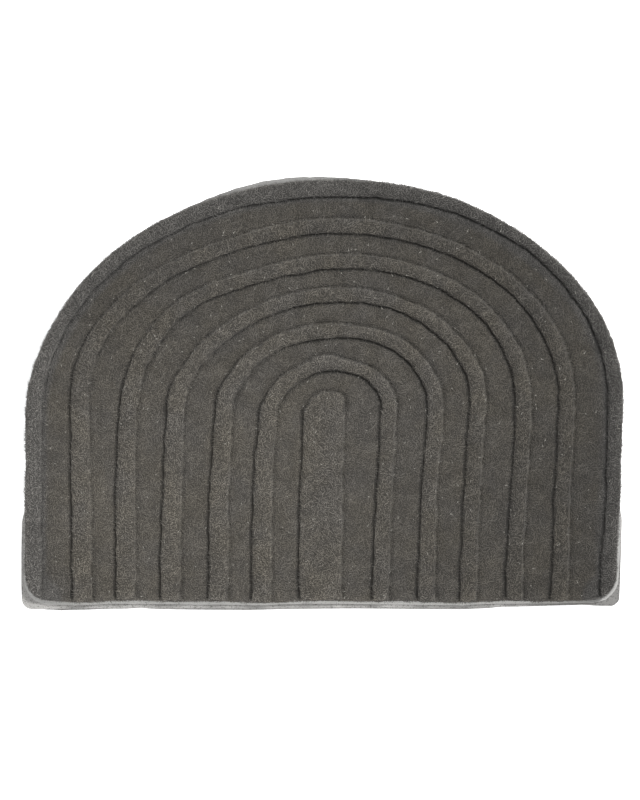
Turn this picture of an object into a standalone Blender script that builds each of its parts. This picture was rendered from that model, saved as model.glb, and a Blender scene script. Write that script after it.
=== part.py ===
"""A half-round tufted wool doormat, lying flat: carved pile on its ground cloth, over a backing canvas."""

import math

import bmesh
import bpy
import numpy as np
from mathutils import Matrix, Vector

# Metres, +Z up. The mat lies with its straight front edge towards -Y and its arch towards +Y.
MM = 0.001

# The layers, from the floor up, a hair apart.
BACKING_THICK = 2.0 * MM
GROUND_THICK = 1.3 * MM
LAYER_GAP = 0.3 * MM

# The pile over its ground cloth: tall bands, short bands, and the carved groove between them.
TALL_PILE = 13.5 * MM
SHORT_PILE = 10.6 * MM
GROOVE_PILE = 8.9 * MM
BAND_CROWN = 0.4 * MM

# The mat lies a little unevenly: slow swells, as height, pace across, pace up and turn.
SWELLS = ((0.35 * MM, 21, 17, 1.3), (0.18 * MM, 43, -29, 0.0))

# One arch stands on straight legs up to the spring line, then rises as a flattened half ellipse.
SPRING_LINE = 224.5 * MM
RISE_PER_HALF_WIDTH = 0.77

# How far round an arch each place lies: 0 to 1 is the left leg, 1 to 2 the curve, 2 to 3 the right leg.
PLACES = {
    "left_foot": 0.1, "left_leg": 0.57, "left_spring": 1.0, "left_haunch": 1.125, "left_rise": 1.25,
    "left_shoulder": 1.375, "crown": 1.5, "right_shoulder": 1.625, "right_rise": 1.75,
    "right_haunch": 1.875, "right_spring": 2.0, "right_leg": 2.43, "right_foot": 2.9,
}
CURVE_PER_LEG = 3.0

# Half widths, in millimetres, at those places, as the tufter's hand laid them: the tongue's edge,
# the middle of each tall band from the inside out, and the edge of the rim.
TONGUE_EDGE = (26.5, 25.5, 20.5, 19.0, 20.0, 22.5, 26.5, 29.5, 30.5, 29.0, 27.0, 24.0, 23.0)
TALL_BANDS = (
    (70.5, 69.0, 62.5, 58.5, 57.5, 60.0, 68.5, 71.0, 76.5, 79.0, 77.5, 73.0, 68.0),
    (121.0, 119.5, 114.5, 111.5, 110.5, 113.5, 117.5, 125.5, 131.5, 132.5, 132.0, 125.0, 121.5),
    (176.5, 174.5, 170.5, 165.0, 161.5, 164.5, 171.5, 180.0, 184.0, 184.5, 181.5, 174.5, 170.5),
    (228.0, 229.0, 225.5, 224.5, 224.0, 214.5, 221.0, 232.0, 239.0, 239.0, 235.0, 229.0, 223.5),
    (279.5, 280.5, 283.0, 283.5, 276.0, 269.5, 276.5, 283.5, 289.5, 289.5, 285.0, 280.5, 276.5),
)
RIM_EDGE = (346.5, 346.0, 345.5, 339.5, 340.5, 343.5, 348.5, 354.5, 354.0, 355.5, 351.5, 348.5, 344.0)
BAND_WIDTH = (23.0, 22.5, 20.5, 21.0, 21.5, 21.5, 23.5, 20.5, 19.5, 19.0, 18.5, 18.5, 20.0)
RIM_WIDTH = (19.5, 19.0, 19.0, 17.5, 21.0, 24.5, 28.0, 22.0, 16.5, 18.0, 18.5, 17.5, 20.5)

# Cross-section of the carving: distances from a band's edge.
GROOVE_HALF_WIDTH = 0.8 * MM
EDGE_ROUND = 1.3 * MM
EDGE_DROP = 0.9 * MM
SHOULDER = 5.0 * MM
GROOVE_BANK = 3.6 * MM
TONGUE_MIDDLE_SHARE = 0.45

# The pile's outer wall bulges over its own foot.
BULGE_PILE = 5.0 * MM
WALL_LEAN_IN = 1.6 * MM

# The pile's front corners are cut as quarter ellipses: how far along the front, how far up the side.
# The left one also eases up slowly before it turns.
LEFT_CUTS = ((24 * MM, 30 * MM), (80 * MM, 6 * MM))
RIGHT_CUTS = ((34 * MM, 33 * MM),)

# Steps round an arch: straight legs, then the curved part.
FRONT_ROUND_END = 5.0 * MM
LEG_STEPS = (0.0, 1.6 * MM, FRONT_ROUND_END, 14 * MM, 36 * MM, 62 * MM, 92 * MM, 124 * MM, 156 * MM, 190 * MM)
ARC_STEPS = 32

# Hand-made unevenness of every line, as two slow waves round the arch.
WAVES = ((0.45 * MM, 8.3, 1.9), (0.35 * MM, 15.1, 3.3))

# The two cloths under the pile reach past it at the front, at the lower sides and beside the crown.
CLOTHS = {
    "ground_cloth": {
        "bottom": BACKING_THICK + LAYER_GAP, "thick": GROUND_THICK,
        "front_left": 3.8 * MM, "front_right": 3.0 * MM,
        "lower_left": 2.0 * MM, "lower_right": 3.4 * MM, "arch": -1.2 * MM, "crown": 8.0 * MM,
        "left_corner": (27 * MM, 30 * MM), "right_corner": (31 * MM, 31 * MM),
    },
    "backing": {
        "bottom": 0.0, "thick": BACKING_THICK,
        "front_left": 9.6 * MM, "front_right": 5.4 * MM,
        "lower_left": 5.0 * MM, "lower_right": 4.4 * MM, "arch": -1.6 * MM, "crown": 5.5 * MM,
        "left_corner": (13 * MM, 13 * MM), "right_corner": (10 * MM, 10 * MM),
    },
}
FRONT_NARROWS = (150 * MM, 290 * MM)
SHOWN_SIDE_HEIGHT = 120 * MM
SHOWN_SIDE_FADE = 35 * MM
CROWN_SHOW_WAY = 1.45
CROWN_SHOW_SPREAD = 0.09
CORNER_STEPS = 6
FRONT_STEPS = 16

# The front edge wanders a little, as every hand-trimmed edge does.
FRONT_WAVES = ((0.8 * MM, 27, 0.8), (0.7 * MM, 58, 2.1))
SHEET_EDGE_ROUND = 0.5 * MM
MERGE_DISTANCE = 0.02 * MM
SHARP_ABOVE_DEG = 40

COLOURS = {
    "pile": ((0.098, 0.091, 0.080, 1.0), 0.95),
    "ground_cloth": ((0.42, 0.41, 0.38, 1.0), 0.9),
    "backing": ((0.27, 0.26, 0.25, 1.0), 0.9),
}


def clear_scene():
    for thing in list(bpy.data.objects):
        bpy.data.objects.remove(thing, do_unlink=True)


def cloth_material(name):
    colour, roughness = COLOURS[name]
    material = bpy.data.materials.new(name)
    material.use_nodes = True
    shader = material.node_tree.nodes["Principled BSDF"]
    shader.inputs["Base Color"].default_value = colour
    shader.inputs["Roughness"].default_value = roughness
    shader.inputs["Metallic"].default_value = 0.0
    return material


def along(way):
    """How far round an arch a place lies, counted in leg lengths."""
    return min(way, 1.0) + CURVE_PER_LEG * min(max(way - 1, 0.0), 1.0) + max(way - 2, 0.0)


STATIONS = np.array([along(way) for way in PLACES.values()])


def smooth_between(values, way):
    """A soft curve through one value for each place, read at another place."""
    values, at = np.array(values), along(way)
    slopes = np.gradient(values, STATIONS)
    slot = int(np.clip(np.searchsorted(STATIONS, at) - 1, 0, len(STATIONS) - 2))
    span = STATIONS[slot + 1] - STATIONS[slot]
    t = min(max((at - STATIONS[slot]) / span, 0.0), 1.0)
    start = (1 + 2 * t) * (1 - t) ** 2 * values[slot] + t * (1 - t) ** 2 * span * slopes[slot]
    end = t * t * (3 - 2 * t) * values[slot + 1] + t * t * (t - 1) * span * slopes[slot + 1]
    return float(start + end) * MM


def wave(way, row):
    """How far a hand-laid line strays from its true arch at one place."""
    return sum(size * math.sin(pace * way + turn * row) for size, pace, turn in WAVES)


def rim_edge(way):
    return smooth_between(RIM_EDGE, way) + wave(way, len(TALL_BANDS) + 1)


def tall_bands(way):
    """The inner and outer half width of every tall band at one place, the rim last."""
    half_band = smooth_between(BAND_WIDTH, way) / 2
    bands = []
    for row, middles in enumerate(TALL_BANDS, start=1):
        middle = smooth_between(middles, way) + wave(way, row)
        bands.append((middle - half_band, middle + half_band))
    rim = rim_edge(way)
    bands.append((rim - smooth_between(RIM_WIDTH, way), rim))
    return bands


def steps_round():
    """The steps from the left foot over the crown to the right foot: the way, and how far up a leg it is."""
    left = [(height / SPRING_LINE, height) for height in LEG_STEPS]
    arc = [(1 + step / ARC_STEPS, None) for step in range(ARC_STEPS + 1)]
    right = [(3 - height / SPRING_LINE, height) for height in reversed(LEG_STEPS)]
    return left + arc + right


def front_line(x):
    """Where the front edge runs, a little off straight."""
    return sum(size * math.sin(pace * x + turn) for size, pace, turn in FRONT_WAVES)


def corner_lift(width, side):
    """How far a cut corner lifts the front edge where a line of this half width meets it."""
    rim = rim_edge(0.0 if side < 0 else 3.0)
    lift = 0.0
    for along_front, up_side in LEFT_CUTS if side < 0 else RIGHT_CUTS:
        past = min(max(width - rim + along_front, 0.0) / along_front, 1.0)
        lift += up_side * (1 - math.sqrt(1 - past * past))
    return lift


def arch_point(width, way, up_leg):
    """One place on an arch of this half width: x and y over the middle of the front edge."""
    if up_leg is None:
        turn = math.pi * (way - 1)
        return -width * math.cos(turn), SPRING_LINE + RISE_PER_HALF_WIDTH * width * math.sin(turn)
    side = -1 if way < 1.5 else 1
    foot = corner_lift(width, side) + front_line(side * width)
    return side * width, foot + up_leg * (1 - foot / SPRING_LINE)


def carved_lines(way):
    """Half width and pile height of every line of the carved face at one place, from the spine to the rim."""
    tongue = smooth_between(TONGUE_EDGE, way) + wave(way, 0)
    lines = [(0.0, TALL_PILE + BAND_CROWN), (TONGUE_MIDDLE_SHARE * tongue, TALL_PILE + BAND_CROWN)]
    lines += tall_band_side(tongue, +1)
    inner_edge = tongue
    for near, far in tall_bands(way):
        lines += [(inner_edge + GROOVE_BANK, SHORT_PILE),
                  ((inner_edge + near) / 2, SHORT_PILE + BAND_CROWN),
                  (near - GROOVE_BANK, SHORT_PILE)]
        lines += tall_band_side(near, -1)
        lines.append(((near + far) / 2, TALL_PILE + BAND_CROWN))
        lines += tall_band_side(far, +1)
        inner_edge = far
    lines[-1] = (rim_edge(way), BULGE_PILE)
    return lines


def tall_band_side(edge, outward):
    """The side of a tall band: its shoulder, its rounded edge and the groove at its foot."""
    side = [(edge - outward * SHOULDER, TALL_PILE),
            (edge - outward * EDGE_ROUND, TALL_PILE - EDGE_DROP),
            (edge + outward * GROOVE_HALF_WIDTH, GROOVE_PILE)]
    return side if outward > 0 else side[::-1]


def front_rounding(height, up_leg):
    """The pile rolls over at the front edge, down to the line where its wall bulges most."""
    if up_leg is None or up_leg >= FRONT_ROUND_END:
        return height
    if up_leg == 0.0:
        return BULGE_PILE
    return height - EDGE_DROP


def swell(x, y):
    """The slow rise and fall of the pile's face."""
    return sum(rise * math.sin(pace_x * x + pace_y * y + turn) for rise, pace_x, pace_y, turn in SWELLS)


def place_carved_face(mesh, base):
    """Bends a flat grid round the arches and lifts each line to its pile height."""
    steps = steps_round()
    columns = [carved_lines(way) for way, _ in steps]
    across, round_ = len(columns[0]) - 1, len(steps) - 1
    bmesh.ops.create_grid(mesh, x_segments=round_, y_segments=across, size=1.0)
    for vertex in mesh.verts:
        step = round((vertex.co.x + 1) / 2 * round_)
        line = round((vertex.co.y + 1) / 2 * across)
        way, up_leg = steps[step]
        width, height = columns[step][line]
        x, y = arch_point(width, way, up_leg)
        if line < across:
            height = front_rounding(height, up_leg)
        lift = swell(x, y) if height > BULGE_PILE else 0.0
        vertex.co = (x, y, base + height + lift)
    bmesh.ops.remove_doubles(mesh, verts=mesh.verts, dist=MERGE_DISTANCE)


def close_pile(mesh, base):
    """Draws the rim down to the ground cloth and closes the pile underneath."""
    rim = [edge for edge in mesh.edges if edge.is_boundary]
    drawn = bmesh.ops.extrude_edge_only(mesh, edges=rim)["geom"]
    foot = [item for item in drawn if isinstance(item, bmesh.types.BMVert)]
    middle = Vector((0, SPRING_LINE, 0))
    for vertex in foot:
        inward = middle - vertex.co
        inward.z = 0
        vertex.co += inward.normalized() * WALL_LEAN_IN
        vertex.co.z = base
    loop = [edge for edge in mesh.edges if edge.is_boundary]
    bmesh.ops.contextual_create(mesh, geom=loop)


def make_pile():
    base = BACKING_THICK + LAYER_GAP + GROUND_THICK + LAYER_GAP
    mesh = bmesh.new()
    place_carved_face(mesh, base)
    close_pile(mesh, base)
    return finish_piece("pile", mesh)


def cloth_reach(cloth, way, height):
    """How far a cloth reaches past the pile's rim at one place."""
    low = min(max((SHOWN_SIDE_HEIGHT - height) / SHOWN_SIDE_FADE, 0.0), 1.0)
    low = low * low * (3 - 2 * low)
    high = math.exp(-((way - CROWN_SHOW_WAY) / CROWN_SHOW_SPREAD) ** 2)
    return cloth["arch"] + low * (lower_reach(cloth, way) - cloth["arch"]) + high * (cloth["crown"] - cloth["arch"])


def lower_reach(cloth, way):
    """How far a cloth reaches past the pile low down on the side that this place lies on."""
    return cloth["lower_left"] if way < 1.5 else cloth["lower_right"]


def cloth_outline(cloth):
    """The cloth's edge, from the left corner over the crown to the right corner, and back along the front."""
    points = []
    corners = {-1: cloth["left_corner"], 1: cloth["right_corner"]}
    for way, up_leg in steps_round():
        if up_leg is None:
            height = arch_point(rim_edge(way), way, None)[1]
            points.append(arch_point(rim_edge(way) + cloth_reach(cloth, way, height), way, None))
        elif up_leg > corners[-1 if way < 1.5 else 1][1]:
            side = -1 if way < 1.5 else 1
            points.append((side * (rim_edge(way) + cloth_reach(cloth, way, up_leg)), up_leg))
    points += corner_arc(cloth, 1, corners[1])
    right = rim_edge(3.0) + lower_reach(cloth, 3.0) - corners[1][0]
    left = rim_edge(0.0) + lower_reach(cloth, 0.0) - corners[-1][0]
    for step in range(1, FRONT_STEPS):
        x = right - (right + left) * step / FRONT_STEPS
        points.append((x, front_line(x) - front_reach(cloth, x)))
    points += corner_arc(cloth, -1, corners[-1])
    return points


def front_reach(cloth, x):
    """How far a cloth reaches past the pile's front edge, less towards the right."""
    start, end = FRONT_NARROWS
    share = min(max((x - start) / (end - start), 0.0), 1.0)
    return cloth["front_left"] + share * (cloth["front_right"] - cloth["front_left"])


def corner_arc(cloth, side, size):
    """A rounded front corner, in the order in which the outline runs."""
    along_front, up_side = size
    way = 0.0 if side < 0 else 3.0
    x = side * (rim_edge(way) + lower_reach(cloth, way) - along_front)
    y = up_side + front_line(x) - front_reach(cloth, x)
    turns = [math.pi / 2 * step / CORNER_STEPS for step in range(CORNER_STEPS + 1)]
    arc = [(x + side * along_front * math.cos(turn), y - up_side * math.sin(turn)) for turn in turns]
    return arc if side > 0 else arc[::-1]


def make_cloth(name):
    """A cloth laid flat: its outline, drawn up to its thickness, with its upper edge rounded."""
    cloth = CLOTHS[name]
    mesh = bmesh.new()
    ring = [mesh.verts.new((x, y, cloth["bottom"])) for x, y in cloth_outline(cloth)]
    sheet = mesh.faces.new(ring)
    drawn = bmesh.ops.extrude_face_region(mesh, geom=[sheet])["geom"]
    top = [item for item in drawn if isinstance(item, bmesh.types.BMVert)]
    bmesh.ops.translate(mesh, verts=top, vec=(0, 0, cloth["thick"]))
    upper = {edge for vertex in top for edge in vertex.link_edges
             if all(end.co.z > cloth["bottom"] + cloth["thick"] / 2 for end in edge.verts)}
    bmesh.ops.bevel(mesh, geom=list(upper), offset=SHEET_EDGE_ROUND, segments=2, profile=0.5, affect="EDGES")
    return finish_piece(name, mesh)


def finish_piece(name, mesh):
    bmesh.ops.triangulate(mesh, faces=mesh.faces[:])
    bmesh.ops.recalc_face_normals(mesh, faces=mesh.faces)
    data = bpy.data.meshes.new(name)
    mesh.to_mesh(data)
    mesh.free()
    data.shade_smooth()
    data.set_sharp_from_angle(angle=math.radians(SHARP_ABOVE_DEG))
    data.materials.append(cloth_material(name))
    piece = bpy.data.objects.new(name, data)
    bpy.context.scene.collection.objects.link(piece)
    return piece


def centre_on_origin(pieces):
    """Puts the origin on the floor under the middle of the whole mat."""
    corners = np.array([vertex.co[:] for piece in pieces for vertex in piece.data.vertices])
    middle = (corners.min(axis=0) + corners.max(axis=0)) / 2
    for piece in pieces:
        piece.data.transform(Matrix.Translation((-middle[0], -middle[1], 0)))
    return middle


def main():
    clear_scene()
    pieces = [make_pile()] + [make_cloth(name) for name in CLOTHS]
    middle = centre_on_origin(pieces)
    print("middle of the mat, over the middle of the pile's front edge:", middle[:2])
    for piece in pieces:
        print(piece.name, [round(size, 4) for size in piece.dimensions], len(piece.data.polygons), "faces")


main()
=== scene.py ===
# %% [markdown]
# This lesson dresses a half-round wool doormat. The real one is made with a tufting gun: thousands of
# short lengths of yarn are shot through a pale ground cloth, the face is shorn level, and nested arches
# are carved into it with clippers. A canvas is glued underneath.
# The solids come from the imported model, and each of them gets its finish, or a finer piece in its place.

# %% Load the solids
import math

import bpy
import numpy as np
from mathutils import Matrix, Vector
from mathutils.kdtree import KDTree


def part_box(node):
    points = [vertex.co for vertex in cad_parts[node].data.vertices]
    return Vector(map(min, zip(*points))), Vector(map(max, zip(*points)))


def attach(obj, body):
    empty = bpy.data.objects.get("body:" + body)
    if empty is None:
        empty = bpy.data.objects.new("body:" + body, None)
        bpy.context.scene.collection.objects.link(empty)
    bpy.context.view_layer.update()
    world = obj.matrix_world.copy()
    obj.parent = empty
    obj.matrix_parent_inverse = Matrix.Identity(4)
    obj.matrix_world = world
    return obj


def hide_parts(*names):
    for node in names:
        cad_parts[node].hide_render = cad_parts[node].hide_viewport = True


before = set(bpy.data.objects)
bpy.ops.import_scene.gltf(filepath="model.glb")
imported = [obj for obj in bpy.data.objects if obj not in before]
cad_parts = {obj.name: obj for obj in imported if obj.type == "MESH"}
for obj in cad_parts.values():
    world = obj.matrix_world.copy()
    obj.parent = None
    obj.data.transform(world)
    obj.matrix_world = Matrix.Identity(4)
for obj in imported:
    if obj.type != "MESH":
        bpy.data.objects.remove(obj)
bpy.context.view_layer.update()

MM = 0.001
pile_low, pile_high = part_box("pile")
print("pile from", tuple(pile_low), "to", tuple(pile_high))

# %% [markdown]
# Most steps below work on one piece at a time, the way one works by hand: nothing else is selected, and
# the piece is active. Loading leaves the solids selected, so the first helper clears that away.

# %% Helpers for working on one piece
def take_up(piece):
    """Selects one piece alone, in object mode."""
    if bpy.context.object and bpy.context.object.mode != "OBJECT":
        bpy.ops.object.mode_set(mode="OBJECT")
    bpy.ops.object.select_all(action="DESELECT")
    piece.select_set(True)
    bpy.context.view_layer.objects.active = piece
    return piece


def copy_of_solid(node, name):
    """A copy of a solid with its loose triangles sewn together, to be worked into a finer piece."""
    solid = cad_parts[node]
    piece = bpy.data.objects.new(name, solid.data.copy())
    bpy.context.scene.collection.objects.link(piece)
    piece.data.name = name
    piece.data.materials.clear()
    take_up(piece)
    bpy.ops.object.mode_set(mode="EDIT")
    bpy.ops.mesh.select_all(action="SELECT")
    bpy.ops.mesh.remove_doubles(threshold=0.02 * MM)
    bpy.ops.mesh.tris_convert_to_quads(face_threshold=math.radians(60), shape_threshold=math.radians(60))
    bpy.ops.object.mode_set(mode="OBJECT")
    bpy.ops.object.shade_smooth()
    return piece


def apply_all(piece):
    take_up(piece)
    for modifier in list(piece.modifiers):
        bpy.ops.object.modifier_apply(modifier=modifier.name)
    return piece


def points_of(piece):
    places = np.empty(len(piece.data.vertices) * 3)
    piece.data.vertices.foreach_get("co", places)
    return places.reshape(-1, 3)


def face_middles(piece):
    middles = np.empty(len(piece.data.polygons) * 3)
    piece.data.polygons.foreach_get("center", middles)
    return middles.reshape(-1, 3)


def set_points(piece, places):
    piece.data.vertices.foreach_set("co", places.ravel())
    piece.data.update()


# %% [markdown]
# Every finish is a small tree of nodes. A helper adds a node, sets its plain values and joins its
# sockets, so that each finish further down reads as a short list of what it is made of.

# %% Helpers for finishes
def new_finish(name):
    material = bpy.data.materials.new(name)
    material.use_nodes = True
    tree = material.node_tree
    return material, tree, tree.nodes["Principled BSDF"]


def add(tree, kind, values=(), links=(), **settings):
    """Adds one node: values and links are pairs of a socket and a number or another node's output."""
    node = tree.nodes.new(kind)
    for key, setting in settings.items():
        setattr(node, key, setting)
    for socket, value in values:
        node.inputs[socket].default_value = value
    for socket, output in links:
        tree.links.new(output, node.inputs[socket])
    return node


def noise(tree, where, scale, detail=2.0, roughness=0.5):
    values = [("Scale", scale), ("Detail", detail), ("Roughness", roughness)]
    return add(tree, "ShaderNodeTexNoise", values, [("Vector", where)])


def spread(tree, value, low, high, to_low, to_high):
    """Stretches a number from one range to another, held at both ends."""
    values = [("From Min", low), ("From Max", high), ("To Min", to_low), ("To Max", to_high)]
    return add(tree, "ShaderNodeMapRange", values, [("Value", value)]).outputs["Result"]


def mixed(tree, share, first, second, blend="MIX"):
    """Mixes two colours. Each is a colour or another node's output. Sockets 6 and 7 take the colours."""
    node = add(tree, "ShaderNodeMix", data_type="RGBA", blend_type=blend)
    for socket, value in ((0, share), (6, first), (7, second)):
        if hasattr(value, "is_output"):
            tree.links.new(value, node.inputs[socket])
        else:
            node.inputs[socket].default_value = value
    return node.outputs[2]


def multiplied(tree, *values):
    """The product of several numbers."""
    product = values[0]
    for value in values[1:]:
        product = add(tree, "ShaderNodeMath", operation="MULTIPLY",
                      links=[(0, product), (1, value)]).outputs[0]
    return product


def roughened(tree, shader, height, distance, strength=1.0):
    """Puts a bump under a finish."""
    bump = add(tree, "ShaderNodeBump", [("Distance", distance), ("Strength", strength)],
               [("Height", height)])
    tree.links.new(bump.outputs["Normal"], shader.inputs["Normal"])


# %% [markdown]
# The wool is a heather of dark warm grey yarns. Each tuft is a little lighter or darker than the next,
# a few hold a pale fibre, and slow patches show where the dye took differently. The short bands are shorn
# closer, so their grain is calmer. The tips of tall bands are painted lighter, as painted light, and the
# depth between the tufts is painted darker, as painted shade. The grain and the painted light follow
# height, which is read from Object coordinates: they are the same for every piece, because each one sits
# at the origin. The border, the wool's tone with its painted light and shade, and "tuft_shade" are
# attributes that later steps paint on the pile and its tufts.

# %% The wool
WOOL_WARM = (0.081, 0.0735, 0.0610, 1.0)
WOOL_COOL = (0.076, 0.0705, 0.0625, 1.0)
WOOL_BORDER = (0.0765, 0.0730, 0.0680, 1.0)
WOOL_PALE = (0.26, 0.25, 0.225, 1.0)
PALE_TUFT_SHARE = 0.006
DYE_PATCHES_PER_METRE = 26.0
CLOUDS_PER_METRE = 48.0
FLECKS_PER_METRE = 620.0
FUZZ_PER_METRE = 1600.0
FLECK_SWING = 0.38
CLOUD_SWING = 0.10
SHORT_BAND_GRAIN = 0.62
# Depths below the solid's top: on the way up the grain grows to full, and the painted light on the tips
# too.
GRAIN_GROWS = (3.6 * MM, 2.0 * MM)
LIGHT_GROWS = (4.0 * MM, 1.5 * MM)


def read_attribute(tree, name):
    return add(tree, "ShaderNodeAttribute", attribute_name=name).outputs["Fac"]


def scaled(tree, colour, gain):
    return add(tree, "ShaderNodeVectorMath", operation="SCALE",
               links=[(0, colour), ("Scale", gain)]).outputs[0]


def calmed(tree, value, share):
    """Draws a number towards one: share 0 gives one, share 1 leaves it as it is."""
    above_one = add(tree, "ShaderNodeMath", [(1, 1.0)], [(0, value)], operation="SUBTRACT").outputs[0]
    links = [(0, above_one), (1, share)]
    return add(tree, "ShaderNodeMath", [(2, 1.0)], links, operation="MULTIPLY_ADD").outputs[0]


def swung(tree, texture, swing):
    """Turns a noise into a gain round one."""
    return spread(tree, texture.outputs["Fac"], 0.3, 0.7, 1.0 - swing, 1.0 + swing)


def wool_colour(tree, where):
    """The dye, with the greyer yarn of the border."""
    patches = noise(tree, where, DYE_PATCHES_PER_METRE, detail=3.0).outputs["Fac"]
    dye = mixed(tree, spread(tree, patches, 0.35, 0.65, 0.0, 1.0), WOOL_WARM, WOOL_COOL)
    return mixed(tree, read_attribute(tree, "border"), dye, WOOL_BORDER)


def wool_finish(name, tuft_swing, strength, painted_gain_up_high):
    """Half of the tufts are equally light. The other half fall evenly towards the darkest."""
    material, tree, shader = new_finish(name)
    where = add(tree, "ShaderNodeTexCoord").outputs["Object"]
    colour = wool_colour(tree, where)
    shade = read_attribute(tree, "tuft_shade")
    swing = spread(tree, shade, 0.0, 0.5, 1.0 - 1.7 * tuft_swing, 1.0 + 0.5 * tuft_swing)
    flecks = swung(tree, noise(tree, where, FLECKS_PER_METRE, detail=2.0, roughness=0.7), FLECK_SWING)
    clouding = swung(tree, noise(tree, where, CLOUDS_PER_METRE, detail=3.0), CLOUD_SWING)
    up = add(tree, "ShaderNodeSeparateXYZ", links=[("Vector", where)]).outputs["Z"]
    # Painted light and shade by height: lighter up towards the tips of the tall bands.
    light_from, light_to = (pile_high.z - below for below in LIGHT_GROWS)
    painted_gain_by_height = spread(tree, up, light_from, light_to, strength, painted_gain_up_high)
    grain_from, grain_to = (pile_high.z - below for below in GRAIN_GROWS)
    calm = spread(tree, up, grain_from, grain_to, SHORT_BAND_GRAIN, 1.0)
    grain = calmed(tree, multiplied(tree, swing, flecks), calm)
    colour = scaled(tree, colour, multiplied(tree, grain, clouding, painted_gain_by_height, read_attribute(tree, "tone_and_painted_light")))
    pale = spread(tree, shade, 1.0 - PALE_TUFT_SHARE, 1.0 - 0.8 * PALE_TUFT_SHARE, 0.0, 0.8)
    tree.links.new(mixed(tree, pale, colour, WOOL_PALE), shader.inputs["Base Color"])
    shader.inputs["Roughness"].default_value = 0.95
    shader.inputs["Specular IOR Level"].default_value = 0.2
    shader.inputs["Sheen Weight"].default_value = 0.12
    shader.inputs["Sheen Roughness"].default_value = 0.5
    fuzz = noise(tree, where, FUZZ_PER_METRE, detail=3.0, roughness=0.6).outputs["Fac"]
    roughened(tree, shader, fuzz, distance=0.4 * MM, strength=0.6)
    return material


# One wool in three brightnesses: the fibres, and all tips up high, are painted lighter as painted light,
# and the depth between the tufts is painted darker as painted shade.
wool_tufts = wool_finish("wool_tufts", tuft_swing=0.31, strength=0.96, painted_gain_up_high=1.03)
wool_fibres = wool_finish("wool_fibres", tuft_swing=0.33, strength=1.14, painted_gain_up_high=1.64)
wool_depth_painted_shade = wool_finish("wool_depth_painted_shade", tuft_swing=0.0, strength=0.35, painted_gain_up_high=0.35)
print("wool finishes:", wool_tufts.name, wool_fibres.name, wool_depth_painted_shade.name)

# %% [markdown]
# The ground cloth is a plain weave: threads cross over and under, which two sets of stripes at right
# angles show well enough at half a millimetre. The canvas below is the same idea with thicker, greyer
# thread and dark specks of wool dust pressed into it. Their colour also follows the place on the mat: it
# is darker at the right corner and towards the crown of the arch and lighter in the front middle, and at
# the two front corners it carries painted light and shade that evens out how the lamps light the strips.

# %% The woven cloths
SOIL_PER_METRE = 60.0
DUST_PER_METRE = 620.0
BANDS_AT_SCALE_ONE = 3.0
# Where the cloth's lightness changes, with painted light and shade at the front corners: three ranges
# across the mat, and one along it.
LEFT_CORNER = (-330 * MM, -270 * MM)
FRONT_MIDDLE_FROM = (-120 * MM, -80 * MM)
RIGHT_CORNER = (240 * MM, 330 * MM)
TO_CROWN = (0.0, 200 * MM)
FRONT_MIDDLE_GAIN = 1.13
CROWN_DARKENING = 0.27


def painted_shading_by_place(tree, where, left_painted_shading, right_painted_shading):
    """How light the cloth is. It changes towards either front corner, as painted light and shade, and
    towards the crown.
    """
    place = add(tree, "ShaderNodeSeparateXYZ", links=[("Vector", where)])
    across, along = place.outputs["X"], place.outputs["Y"]
    return multiplied(tree, spread(tree, across, *LEFT_CORNER, left_painted_shading, 1.0),
                      spread(tree, across, *FRONT_MIDDLE_FROM, 1.0, FRONT_MIDDLE_GAIN),
                      spread(tree, across, *RIGHT_CORNER, 1.0, right_painted_shading),
                      spread(tree, along, *TO_CROWN, 1.0, CROWN_DARKENING))


def woven_finish(name, light, dark, speck, threads_per_metre, speck_share, left_painted_shading, right_painted_shading):
    material, tree, shader = new_finish(name)
    where = add(tree, "ShaderNodeTexCoord").outputs["Object"]
    stripes = []
    for direction in ("X", "Y"):
        scale = threads_per_metre / BANDS_AT_SCALE_ONE
        values = [("Scale", scale), ("Distortion", 0.6), ("Detail", 1.0)]
        wave = add(tree, "ShaderNodeTexWave", values, [("Vector", where)], bands_direction=direction)
        stripes.append(wave.outputs["Fac"])
    weave = add(tree, "ShaderNodeMath", operation="MAXIMUM", links=list(enumerate(stripes))).outputs[0]
    colour = mixed(tree, weave, dark, light)
    soil = noise(tree, where, SOIL_PER_METRE, detail=4.0).outputs["Fac"]
    colour = mixed(tree, spread(tree, soil, 0.4, 0.75, 0.0, 0.45), colour, dark)
    dust = noise(tree, where, DUST_PER_METRE, detail=2.0, roughness=0.6).outputs["Fac"]
    specks = spread(tree, dust, 0.62 - speck_share, 0.68 - speck_share, 0.0, 0.75)
    colour = mixed(tree, specks, colour, speck)
    # The cloth's colour is scaled by place: painted light and shade at the front corners.
    colour = scaled(tree, colour, painted_shading_by_place(tree, where, left_painted_shading, right_painted_shading))
    tree.links.new(colour, shader.inputs["Base Color"])
    shader.inputs["Roughness"].default_value = 0.9
    shader.inputs["Specular IOR Level"].default_value = 0.25
    roughened(tree, shader, weave, distance=0.25 * MM, strength=0.8)
    return material


ground_weave = woven_finish("ground_weave", light=(0.66, 0.655, 0.635, 1), dark=(0.46, 0.455, 0.44, 1),
                            speck=(0.16, 0.155, 0.15, 1), threads_per_metre=1800, speck_share=0.0,
                            left_painted_shading=0.74, right_painted_shading=0.45)
canvas_weave = woven_finish("canvas_weave", light=(0.34, 0.334, 0.322, 1), dark=(0.22, 0.216, 0.21, 1),
                            speck=(0.06, 0.058, 0.055, 1), threads_per_metre=1300, speck_share=0.06,
                            left_painted_shading=1.10, right_painted_shading=0.44)
print("woven finishes:", ground_weave.name, canvas_weave.name)

# %% [markdown]
# The depth of the pile is one closed piece, made from the solid: its triangles are sewn together and
# divided, so that it can be shaped finely. Its points and faces are measured before anything moves them,
# because their height tells a tall band, a short one and a carved furrow apart. The mat lies on slow
# swells, so these are first taken off the heights.

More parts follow.
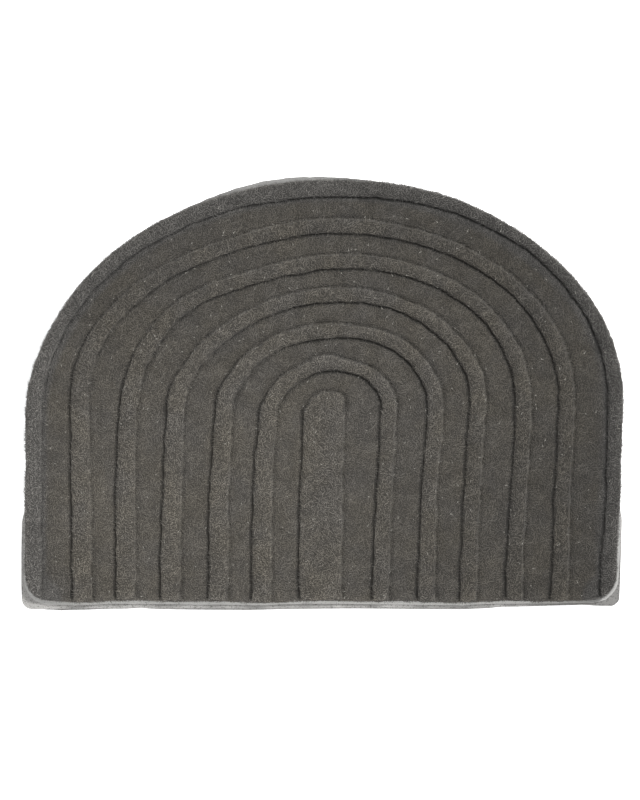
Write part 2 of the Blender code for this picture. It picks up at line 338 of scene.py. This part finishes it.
# %% Divide the pile and measure it
BULGE = 5.1 * MM
WALL_TOP = 8.3 * MM
TALL_FROM = 12.2 * MM
# Each swell's rise, its pace across and along, and its turn, counted from the middle of the front edge.
SWELLS = ((0.35 * MM, 21, 17, 1.3), (0.18 * MM, 43, -29, 0.0))
FRONT_MIDDLE = (0.0, -242.9 * MM)


def height_on_flat(places):
    """Pile height at each place, with the swells taken off all that lies above the wall's bulge."""
    x = places[:, 0] - FRONT_MIDDLE[0]
    y = places[:, 1] - FRONT_MIDDLE[1]
    swell = sum(rise * np.sin(pace_x * x + pace_y * y + turn) for rise, pace_x, pace_y, turn in SWELLS)
    height = places[:, 2] - pile_low.z
    return np.where(height > BULGE, height - swell, height)


pile_depth = copy_of_solid("pile", "pile_depth")
divide = pile_depth.modifiers.new("divide", "SUBSURF")
divide.subdivision_type = "SIMPLE"
divide.levels = divide.render_levels = 2
apply_all(pile_depth)
carved_points, carved_middles = points_of(pile_depth), face_middles(pile_depth)
heights, face_heights = height_on_flat(carved_points), height_on_flat(carved_middles)
print("pile_depth:", len(heights), "points,", len(face_heights), "faces")

# %% [markdown]
# The face is let down a little, because the tuft tips planted on it bring it back up to height. A fine
# cloud texture then makes it as uneven as hand shearing leaves it, and two coarser ones let every carved
# line wander. The side wall takes a quarter of all this, and the flat underside none.

# %% Let the face down and make it uneven
FACE_LET_DOWN = 1.1 * MM
LUMP = 1.0 * MM
LUMP_SIZE = 14 * MM
WANDER = 3.4 * MM
WANDER_SIZES = {"X": 23 * MM, "Y": 27 * MM}
WALL_FROM = 0.5 * MM
WALL_SHARE = 0.25


def displace(piece, name, strength, mid_level, cloud_size=None, direction="NORMAL"):
    """Moves the face in or out, or level along one axis, evenly or by a cloud texture."""
    modifier = piece.modifiers.new(name, "DISPLACE")
    modifier.strength = strength
    modifier.mid_level = mid_level
    modifier.direction = direction
    modifier.vertex_group = "face"
    if cloud_size:
        modifier.texture = bpy.data.textures.new(name, "CLOUDS")
        modifier.texture.noise_scale = cloud_size
        modifier.texture_coords = "LOCAL"


face = pile_depth.vertex_groups.new(name="face")
on_wall = (heights > WALL_FROM) & (heights <= WALL_TOP)
for share, chosen in ((WALL_SHARE, on_wall), (1.0, heights > WALL_TOP)):
    face.add([int(index) for index in np.flatnonzero(chosen)], share, "REPLACE")
displace(pile_depth, "let_down", -FACE_LET_DOWN, 0.0)
displace(pile_depth, "lumps", LUMP, 0.5, LUMP_SIZE)
for axis, size in WANDER_SIZES.items():
    displace(pile_depth, "wander", WANDER, 0.5, size, axis)
apply_all(pile_depth)
# The depth takes the dark wool: painted shade between the tufts.
pile_depth.data.materials.append(wool_depth_painted_shade)
print("pile_depth is", [round(size, 3) for size in pile_depth.dimensions], "m")

# %% [markdown]
# Light comes from the upper right. Where a tall band ends on the side away from it, the carved line
# beside it is left open, and its dark floor shows as painted shade. Where a band ends on the side towards
# the light, its tips close over the line, splay at the edge, and get a painted highlight further on. So
# each face of a furrow is asked which way its nearest tall band lies, and those with the band between
# them and the light stay bare. In between, chance decides, which leaves the lines as ragged as they are
# on the real mat. Beside the rim they stay open for longer.

# %% Find the open furrows
SPRING_LINE = pile_low.y + 225 * MM
RISE_PER_HALF_WIDTH = 0.77
FURROW_TOP = 9.5 * MM
OPEN_FURROW_TOP = 10.2 * MM
OPEN_BANK_SHARE = 0.6
# The level way the light comes from: the upper right.
KEY_LIGHT_FROM = np.array((0.71, 0.71))
CLOSED_BELOW = -0.05
RIM_CLOSED_BELOW = -0.42
RIM_FROM = 300 * MM
OPEN_ABOVE = 0.55
FRONT_FRINGE = 6 * MM


def half_width_at(places):
    """How far from the mat's spine a place lies, measured level along its own arch."""
    up = np.maximum(places[:, 1] - SPRING_LINE, 0.0) / RISE_PER_HALF_WIDTH
    return np.hypot(places[:, 0], up)


def way_to_nearest(places, goals):
    """The level way from each place to the nearest goal: its direction and its length."""
    tree = KDTree(len(goals))
    for index, goal in enumerate(goals):
        tree.insert((goal[0], goal[1], 0), index)
    tree.balance()
    way = np.array([goals[tree.find((x, y, 0))[1]][:2] - (x, y) for x, y, _ in places])
    length = np.maximum(np.hypot(way[:, 0], way[:, 1]), 0.01 * MM)
    return way / length[:, None], length


furrow = (face_heights > WALL_TOP) & (face_heights < OPEN_FURROW_TOP)
furrow_middles, furrow_heights = carved_middles[furrow], face_heights[furrow]
to_tall, _ = way_to_nearest(furrow_middles, carved_middles[face_heights > TALL_FROM])
behind = to_tall @ KEY_LIGHT_FROM
closed_below = np.where(half_width_at(furrow_middles) > RIM_FROM, RIM_CLOSED_BELOW, CLOSED_BELOW)
bare_share = np.clip((behind - closed_below) / (OPEN_ABOVE - closed_below), 0, 1)
bare_share = np.where(furrow_heights < FURROW_TOP, bare_share, OPEN_BANK_SHARE * (behind > OPEN_ABOVE))
bare = np.random.default_rng(11).random(len(behind)) < bare_share
bare &= furrow_middles[:, 1] > pile_low.y + FRONT_FRINGE
open_furrow = np.zeros(len(face_heights), bool)
open_furrow[np.flatnonzero(furrow)[bare]] = True
print("furrow faces", int(furrow.sum()), "left open", int(open_furrow.sum()))

# %% [markdown]
# The wool isn't equally light everywhere. The border is a greyer yarn, the mat is darker towards its right
# and its top, and along the outer edge the tips get a painted highlight. All of it is painted on the
# points of the pile, and the tufts planted there inherit it. The border and the painted edge highlight go
# by the distance to the pile's foot, so the edges between wall and underside are found first.

# %% Paint the border
BORDER_WIDTH = 21 * MM
BORDER_FADE = 6 * MM
FRONT_DEPTH = 25 * MM
FRONT_SLOPE = 0.5
UNDERSIDE_WITHIN = 0.2 * MM
STEPS_ALONG_EDGE = 9


def paint(piece, name, values):
    layer = piece.data.attributes.new(name, "FLOAT", "POINT")
    layer.data.foreach_set("value", values)


def eased(value, low, high):
    share = np.clip((value - low) / (high - low), 0.0, 1.0)
    return share * share * (3 - 2 * share)


def foot_edges(piece, places):
    """The pairs of points where the pile's wall meets its flat underside."""
    under, wall = set(), set()
    for polygon in piece.data.polygons:
        flat_under = all(places[index][2] < pile_low.z + UNDERSIDE_WITHIN for index in polygon.vertices)
        (under if flat_under else wall).update(polygon.edge_keys)
    return under & wall


def distance_to_foot(piece, front):
    """How far each point lies, seen from above, from the foot of the pile: its front, or the rest of it."""
    places = points_of(piece)
    along_foot = []
    for pair in foot_edges(piece, places):
        start, end = places[list(pair)]
        run = end - start
        faces_front = start[1] < pile_low.y + FRONT_DEPTH and abs(run[1]) < FRONT_SLOPE * abs(run[0])
        if faces_front == front:
            along_foot += [start + run * share for share in np.linspace(0, 1, STEPS_ALONG_EDGE)]
    return way_to_nearest(places, along_foot)[1]


to_side = distance_to_foot(pile_depth, False)
to_front = distance_to_foot(pile_depth, True)
border = 1.0 - eased(to_side, BORDER_WIDTH, BORDER_WIDTH + BORDER_FADE)
paint(pile_depth, "border", border)
print("border share", round(float(border.mean()), 2))

# %% [markdown]
# The wool's tone and its painted light and shade are one number for each point, and the finish
# multiplies its colour by it. It starts with the slow fall to the right and the top, then takes a painted
# highlight along the outer edge, a lighter front and a few lighter and darker patches. Last come the
# carved lines: a tall band's edge that faces the light gets a painted highlight, the short band beside a
# line gets painted shade, and an open line is painted dark to its floor as shade.

# %% Paint the tone and its painted light and shade
TONE_AT_LEFT = 1.145
FALL_FROM = -50 * MM
FALL_TO_RIGHT = 0.47
FALL_TO_TOP = 0.33
BORDER_GAIN = 0.10
PAINTED_EDGE_LIGHT, PAINTED_EDGE_LIGHT_WIDTH = 0.30, 2.6 * MM
FRONT_LIGHTER_GAIN = 0.20
FRONT_LIGHTER_FROM, FRONT_LIGHTER_TO = 1 * MM, 11 * MM
TALL_BANDS_FALL = 0.05
PAINTED_EDGE_GLEAM = 0.28
GLEAM_START = 1.5 * MM
GLEAM_WIDTH = 2.2 * MM
PAINTED_FURROW_SHADE = 0.24
SHADE_WIDTH = 2.6 * MM
OPEN_FURROW_PAINTED_SHADE = 0.66
# Where the wool is lighter or darker: across, along, how far round, and by how much.
TONE_PATCHES = (
    (-240 * MM, -125 * MM, 70 * MM, 0.10),
    (-220 * MM, 90 * MM, 110 * MM, -0.10),
    (255 * MM, -100 * MM, 90 * MM, -0.07),
    (-20 * MM, 60 * MM, 80 * MM, -0.06),
)

places = points_of(pile_depth)
to_right = np.clip((places[:, 0] - FALL_FROM) / (pile_high.x - FALL_FROM), 0, 1)
to_top = np.clip(places[:, 1] / pile_high.y, 0, 1)
tone_and_painted_light = TONE_AT_LEFT - FALL_TO_RIGHT * to_right
tone_and_painted_light *= 1.0 - FALL_TO_TOP * to_top
# The border yarn is lighter, and a painted highlight runs along the outer edge.
tone_and_painted_light *= 1.0 + BORDER_GAIN * border + PAINTED_EDGE_LIGHT * np.exp(-np.minimum(to_side, to_front) / PAINTED_EDGE_LIGHT_WIDTH)
tone_and_painted_light *= 1.0 + FRONT_LIGHTER_GAIN * (1.0 - eased(to_front, FRONT_LIGHTER_FROM, FRONT_LIGHTER_TO))
for patch_across, patch_along, patch_reach, lighter in TONE_PATCHES:
    off = np.hypot(places[:, 0] - patch_across, places[:, 1] - patch_along) / patch_reach
    tone_and_painted_light *= 1.0 + lighter * np.exp(-off * off)

tall_points = np.flatnonzero(heights > TALL_FROM)
tall_across = places[tall_points][:, 0]
to_furrow, clear = way_to_nearest(carved_points[tall_points], furrow_middles)
# A painted highlight on each tall band's edge that faces the light, fading out towards the left.
lit = np.maximum(to_furrow @ KEY_LIGHT_FROM, 0) * np.exp(-np.maximum(clear - GLEAM_START, 0) / GLEAM_WIDTH)
tone_and_painted_light[tall_points] *= 1.0 + PAINTED_EDGE_GLEAM * lit * eased(tall_across, -200 * MM, -60 * MM)
tone_and_painted_light[tall_points] *= 1.0 - TALL_BANDS_FALL * eased(tall_across, 60 * MM, 220 * MM)

low_points = np.flatnonzero((heights > WALL_TOP) & (heights <= TALL_FROM))
_, clear = way_to_nearest(carved_points[low_points], furrow_middles)
# Painted shade on the short band beside each carved line.
tone_and_painted_light[low_points] *= 1.0 - PAINTED_FURROW_SHADE * np.exp(-np.square(clear / SHADE_WIDTH))
open_points = {index for number in np.flatnonzero(open_furrow)
               for index in pile_depth.data.polygons[number].vertices}
# The floor of each open line is painted darker, as painted shade.
tone_and_painted_light[list(open_points)] *= OPEN_FURROW_PAINTED_SHADE
paint(pile_depth, "tone_and_painted_light", tone_and_painted_light)
print("nap from", round(float(tone_and_painted_light.min()), 2), "to", round(float(tone_and_painted_light.max()), 2))

# %% [markdown]
# One tuft is a blunt cone of yarn with one long fibre lying out of it. It is modelled once, with its foot
# below the ground it is planted on, and kept to seven faces because the mat holds some eighty thousand.

# %% One tuft
TUFT_RADIUS = 0.95 * MM
TUFT_HEIGHT = 1.5 * MM
TUFT_MIDDLE = 0.35 * MM
FIBRE_RADIUS = 0.32 * MM
FIBRE_LENGTH = 3.6 * MM
FIBRE_LEAN = math.radians(58)
FIBRE_ROOT = 0.3 * MM


def cone(name, sides, radius, height, middle, lean, finish):
    bpy.ops.mesh.primitive_cone_add(vertices=sides, radius1=radius, radius2=0, depth=height,
                                    end_fill_type="NOTHING", location=middle, rotation=(0, lean, 0))
    piece = bpy.context.object
    piece.name = name
    piece.data.materials.append(finish)
    return piece


take_up(pile_depth)
bpy.ops.object.select_all(action="DESELECT")
tuft = cone("one_tuft", 4, TUFT_RADIUS, TUFT_HEIGHT, (0, 0, TUFT_MIDDLE), 0, wool_tufts)
fibre_out = 0.5 * FIBRE_LENGTH * math.sin(FIBRE_LEAN)
fibre_up = FIBRE_ROOT + 0.5 * FIBRE_LENGTH * math.cos(FIBRE_LEAN)
fibre = cone("one_fibre", 3, FIBRE_RADIUS, FIBRE_LENGTH, (fibre_out, 0, fibre_up), FIBRE_LEAN, wool_fibres)
take_up(tuft)
fibre.select_set(True)
bpy.ops.object.join()
bpy.ops.object.transform_apply(location=True, rotation=True, scale=True)
bpy.ops.object.shade_smooth()
tuft_faces = len(tuft.data.polygons)
print("one tuft:", tuft_faces, "faces,", [round(size / MM, 2) for size in tuft.dimensions], "mm")

# %% [markdown]
# Planting is a job for Geometry Nodes. Points are dealt out over the pile's face so that no two are
# closer than one stitch, and a tuft is set on each. It stands between the face's own direction and
# straight up, splayed and sized at random, and its fibre is turned by a slow swirl, because neighbouring
# yarns lie the same way. Every tuft keeps a random shade for its finish to read. Realising the tufts
# makes them a plain mesh that any program can show.

# %% The planting tree
STITCH = 1.42 * MM
TUFTS_PER_SQUARE_METRE = 900000.0
UPRIGHT = 0.7
SPLAY = 0.38
SMALLEST_TUFT, LARGEST_TUFT = 0.8, 1.2
SWIRLS_PER_METRE = 60
SWIRL_TURNS = 2.5
STRAY_TURN = 0.8


def random_value(tree, low, high, seed):
    """A random number, or a random vector where low and high are vectors."""
    is_vector = isinstance(low, tuple)
    node = add(tree, "FunctionNodeRandomValue", data_type="FLOAT_VECTOR" if is_vector else "FLOAT")
    first = 0 if is_vector else 2
    node.inputs[first].default_value, node.inputs[first + 1].default_value = low, high
    node.inputs["Seed"].default_value = seed
    return node.outputs[0 if is_vector else 1]


def planting_tree(seed):
    tree = bpy.data.node_groups.new("plant_tufts", "GeometryNodeTree")
    tree.interface.new_socket("Geometry", in_out="INPUT", socket_type="NodeSocketGeometry")
    tree.interface.new_socket("Geometry", in_out="OUTPUT", socket_type="NodeSocketGeometry")
    bed = add(tree, "NodeGroupInput").outputs[0]
    values = [("Distance Min", STITCH), ("Density Max", TUFTS_PER_SQUARE_METRE), ("Seed", seed)]
    points = add(tree, "GeometryNodeDistributePointsOnFaces", values, [("Mesh", bed)],
                 distribute_method="POISSON")
    splay = random_value(tree, (-SPLAY, -SPLAY, 0.0), (SPLAY, SPLAY, 0.0), seed + 1)
    lean = add(tree, "ShaderNodeVectorMath", [(1, (0.0, 0.0, UPRIGHT))], [(0, points.outputs["Normal"])])
    lean = add(tree, "ShaderNodeVectorMath", links=[(0, lean.outputs[0]), (1, splay)])
    stand = add(tree, "FunctionNodeAlignRotationToVector", links=[("Vector", lean.outputs[0])], axis="Z")
    swirl = noise(tree, add(tree, "GeometryNodeInputPosition").outputs[0], SWIRLS_PER_METRE).outputs["Fac"]
    turn = add(tree, "ShaderNodeMath", [(1, SWIRL_TURNS * math.tau)],
               [(0, swirl), (2, random_value(tree, -STRAY_TURN, STRAY_TURN, seed + 2))],
               operation="MULTIPLY_ADD")
    turn = add(tree, "ShaderNodeCombineXYZ", links=[("Z", turn.outputs[0])])
    turn = add(tree, "FunctionNodeEulerToRotation", links=[("Euler", turn.outputs[0])])
    turned = add(tree, "FunctionNodeRotateRotation", rotation_space="LOCAL",
                 links=[("Rotation", stand.outputs[0]), ("Rotate By", turn.outputs[0])])
    size = random_value(tree, SMALLEST_TUFT, LARGEST_TUFT, seed + 3)
    one = add(tree, "GeometryNodeObjectInfo", [("Object", tuft)])
    planted = add(tree, "GeometryNodeInstanceOnPoints",
                  links=[("Points", points.outputs["Points"]), ("Instance", one.outputs["Geometry"]),
                         ("Rotation", turned.outputs[0]), ("Scale", size)])
    shaded = add(tree, "GeometryNodeStoreNamedAttribute", [("Name", "tuft_shade")],
                 [("Geometry", planted.outputs[0]), ("Value", random_value(tree, 0.0, 1.0, seed + 4))],
                 data_type="FLOAT", domain="INSTANCE")
    real = add(tree, "GeometryNodeRealizeInstances", links=[("Geometry", shaded.outputs[0])])
    add(tree, "NodeGroupOutput", links=[(0, real.outputs[0])])
    return tree


# %% [markdown]
# The tufts are planted in six pieces, each a ring of the mat from its tongue out to its rim, so that
# none grows too heavy. A face belongs to the ring that its middle lies in, measured round the arch. The
# open furrows and the underside get no tufts, so those faces are deleted from the bed with all that lies
# outside the ring.

# %% Plant the tufts
RINGS = {"tongue": 90 * MM, "first": 152 * MM, "second": 205 * MM, "third": 254 * MM, "fourth": 300 * MM,
         "rim": 400 * MM}
UNDERSIDE_BELOW = 0.3 * MM


def planted_ring(name, unplanted, seed):
    """A copy of the pile's face without its unplanted faces, with tufts in place of what is left."""
    bed = pile_depth.copy()
    bed.data = pile_depth.data.copy()
    bed.name = name
    bpy.context.scene.collection.objects.link(bed)
    take_up(bed)
    bpy.ops.object.mode_set(mode="EDIT")
    bpy.ops.mesh.select_all(action="DESELECT")
    bpy.ops.mesh.select_mode(type="FACE")
    bpy.ops.object.mode_set(mode="OBJECT")
    bed.data.polygons.foreach_set("select", unplanted)
    bpy.ops.object.mode_set(mode="EDIT")
    bpy.ops.mesh.delete(type="FACE")
    bpy.ops.object.mode_set(mode="OBJECT")
    bed.modifiers.new("plant", "NODES").node_group = planting_tree(seed)
    return apply_all(bed)


from_spine = half_width_at(face_middles(pile_depth))
tuft_pieces = []
inner = -1.0
for number, (ring, outer) in enumerate(RINGS.items()):
    outside = (from_spine <= inner) | (from_spine > outer)
    unplanted = outside | (face_heights < UNDERSIDE_BELOW) | open_furrow
    planted = planted_ring("tufts_" + ring, unplanted, 10 * number + 3)
    tuft_pieces.append(planted)
    inner = outer
    faces = len(planted.data.polygons)
    print(planted.name, faces, "faces,", faces // tuft_faces, "tufts")
bpy.data.objects.remove(tuft)
print("all tufts:", sum(len(piece.data.polygons) for piece in tuft_pieces), "faces")

# %% [markdown]
# The ground cloth and the canvas show only as thin strips round the pile, so what matters is their cut
# edge. A copy of each solid has its edges divided, and every point is then shifted level by a sum of six
# waves, so that the cut wanders as scissors leave it.

# %% The two cloths
EDGE_CUTS = 4
WAVE_COUNT = 6
SLOWEST_WAVE, QUICKEST_WAVE = 60, 420
STRAY = 0.8 * MM


def cut_cloth(node, name, finish, seed):
    cloth = copy_of_solid(node, name)
    bpy.ops.object.mode_set(mode="EDIT")
    bpy.ops.mesh.select_all(action="SELECT")
    bpy.ops.mesh.dissolve_limited(angle_limit=math.radians(2))
    bpy.ops.mesh.select_mode(type="EDGE")
    bpy.ops.mesh.select_all(action="SELECT")
    bpy.ops.mesh.subdivide(number_cuts=EDGE_CUTS)
    bpy.ops.object.mode_set(mode="OBJECT")
    rng = np.random.default_rng(seed)
    places = points_of(cloth)
    phases = rng.uniform(0, math.tau, (WAVE_COUNT, 2))
    paces = rng.uniform(SLOWEST_WAVE, QUICKEST_WAVE, (WAVE_COUNT, 2)) * rng.choice([-1, 1], (WAVE_COUNT, 2))
    for axis in (0, 1):
        shift = sum(np.sin(places[:, 0] * pace[0] + places[:, 1] * pace[1] + phase[axis])
                    for pace, phase in zip(paces, phases)) / WAVE_COUNT
        places[:, axis] += STRAY * shift
    set_points(cloth, places)
    cloth.data.materials.append(finish)
    print(cloth.name, len(cloth.data.polygons), "faces")
    return cloth


ground_cloth_edge = cut_cloth("ground_cloth", "ground_cloth_woven", ground_weave, 5)
canvas_edge = cut_cloth("backing", "backing_canvas", canvas_weave, 9)

# %% [markdown]
# Each piece rides on the mat's one body, and the solids that they replace are hidden.

# %% Fit the pieces to the frame
for piece in [pile_depth, ground_cloth_edge, canvas_edge] + tuft_pieces:
    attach(piece, "root")
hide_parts("pile")
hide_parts("ground_cloth")
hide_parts("backing")

# %% [markdown]
# The picture is taken from straight above, in soft light with its brighter side at the upper right, on a
# plain pale floor. The floor glows faintly, which keeps it white round the mat. The mat is placed by
# real sizes: one pixel of the picture is 700 mm over the 600 pixels that the mat spans. The camera looks
# straight down from over the picture's centre, and its lens is chosen so that this scale holds at the
# height of the pile's outline.

# %% Floor and light
FLOOR_SIZE = 60
FLOOR_BELOW = 0.3 * MM
# Each light's name, place, width and power.
LIGHTS = (("window", (1.5, 1.5, 2.7), 0.55, 220), ("fill", (-1.2, -0.9, 2.2), 2.2, 32))
ROOM_LIGHT = 0.6

bpy.ops.object.select_all(action="DESELECT")
bpy.ops.mesh.primitive_plane_add(size=FLOOR_SIZE, location=(0, 0, -FLOOR_BELOW))
floor = bpy.context.object
floor.name = "floor"
floor_paint, _, floor_shader = new_finish("floor_paint")
floor_shader.inputs["Base Color"].default_value = (0.92, 0.92, 0.92, 1)
floor_shader.inputs["Emission Color"].default_value = (1, 1, 1, 1)
floor_shader.inputs["Emission Strength"].default_value = 0.3
floor_shader.inputs["Roughness"].default_value = 0.9
floor.data.materials.append(floor_paint)


def soft_light(name, place, size, power):
    data = bpy.data.lights.new(name, "AREA")
    data.shape = "DISK"
    data.size = size
    data.energy = power
    light = bpy.data.objects.new(name, data)
    light.location = place
    light.rotation_euler = (-Vector(place)).to_track_quat("-Z", "Y").to_euler()
    bpy.context.scene.collection.objects.link(light)
    return light


for light_name, place, size, power in LIGHTS:
    soft_light(light_name, place, size, power)
world = bpy.data.worlds.new("studio")
world.use_nodes = True
world.node_tree.nodes["Background"].inputs["Color"].default_value = (1, 1, 1, 1)
world.node_tree.nodes["Background"].inputs["Strength"].default_value = ROOM_LIGHT
bpy.context.scene.world = world
bpy.context.scene.view_settings.view_transform = "Standard"
print("lights:", [name for name, *_ in LIGHTS])

# %% Camera
PHOTO_SIZE = (640, 800)
PIXEL = 0.700 / 600
MAT_MIDDLE_PIXEL = (322.0, 393.3)
OUTLINE_HEIGHT = pile_low.z + 5 * MM
CAMERA_HEIGHT = 2.4

camera_data = bpy.data.cameras.new("camera")
camera = bpy.data.objects.new("camera", camera_data)
bpy.context.scene.collection.objects.link(camera)
left_of_centre = (PHOTO_SIZE[0] / 2 - MAT_MIDDLE_PIXEL[0]) * PIXEL
above_centre = (MAT_MIDDLE_PIXEL[1] - PHOTO_SIZE[1] / 2) * PIXEL
camera.location = (left_of_centre, above_centre, CAMERA_HEIGHT)
to_outline = CAMERA_HEIGHT - OUTLINE_HEIGHT
camera_data.lens = camera_data.sensor_width * to_outline / (PHOTO_SIZE[1] * PIXEL)
bpy.context.scene.camera = camera
print("camera lens", round(camera_data.lens, 1), "mm at", tuple(round(c, 4) for c in camera.location))
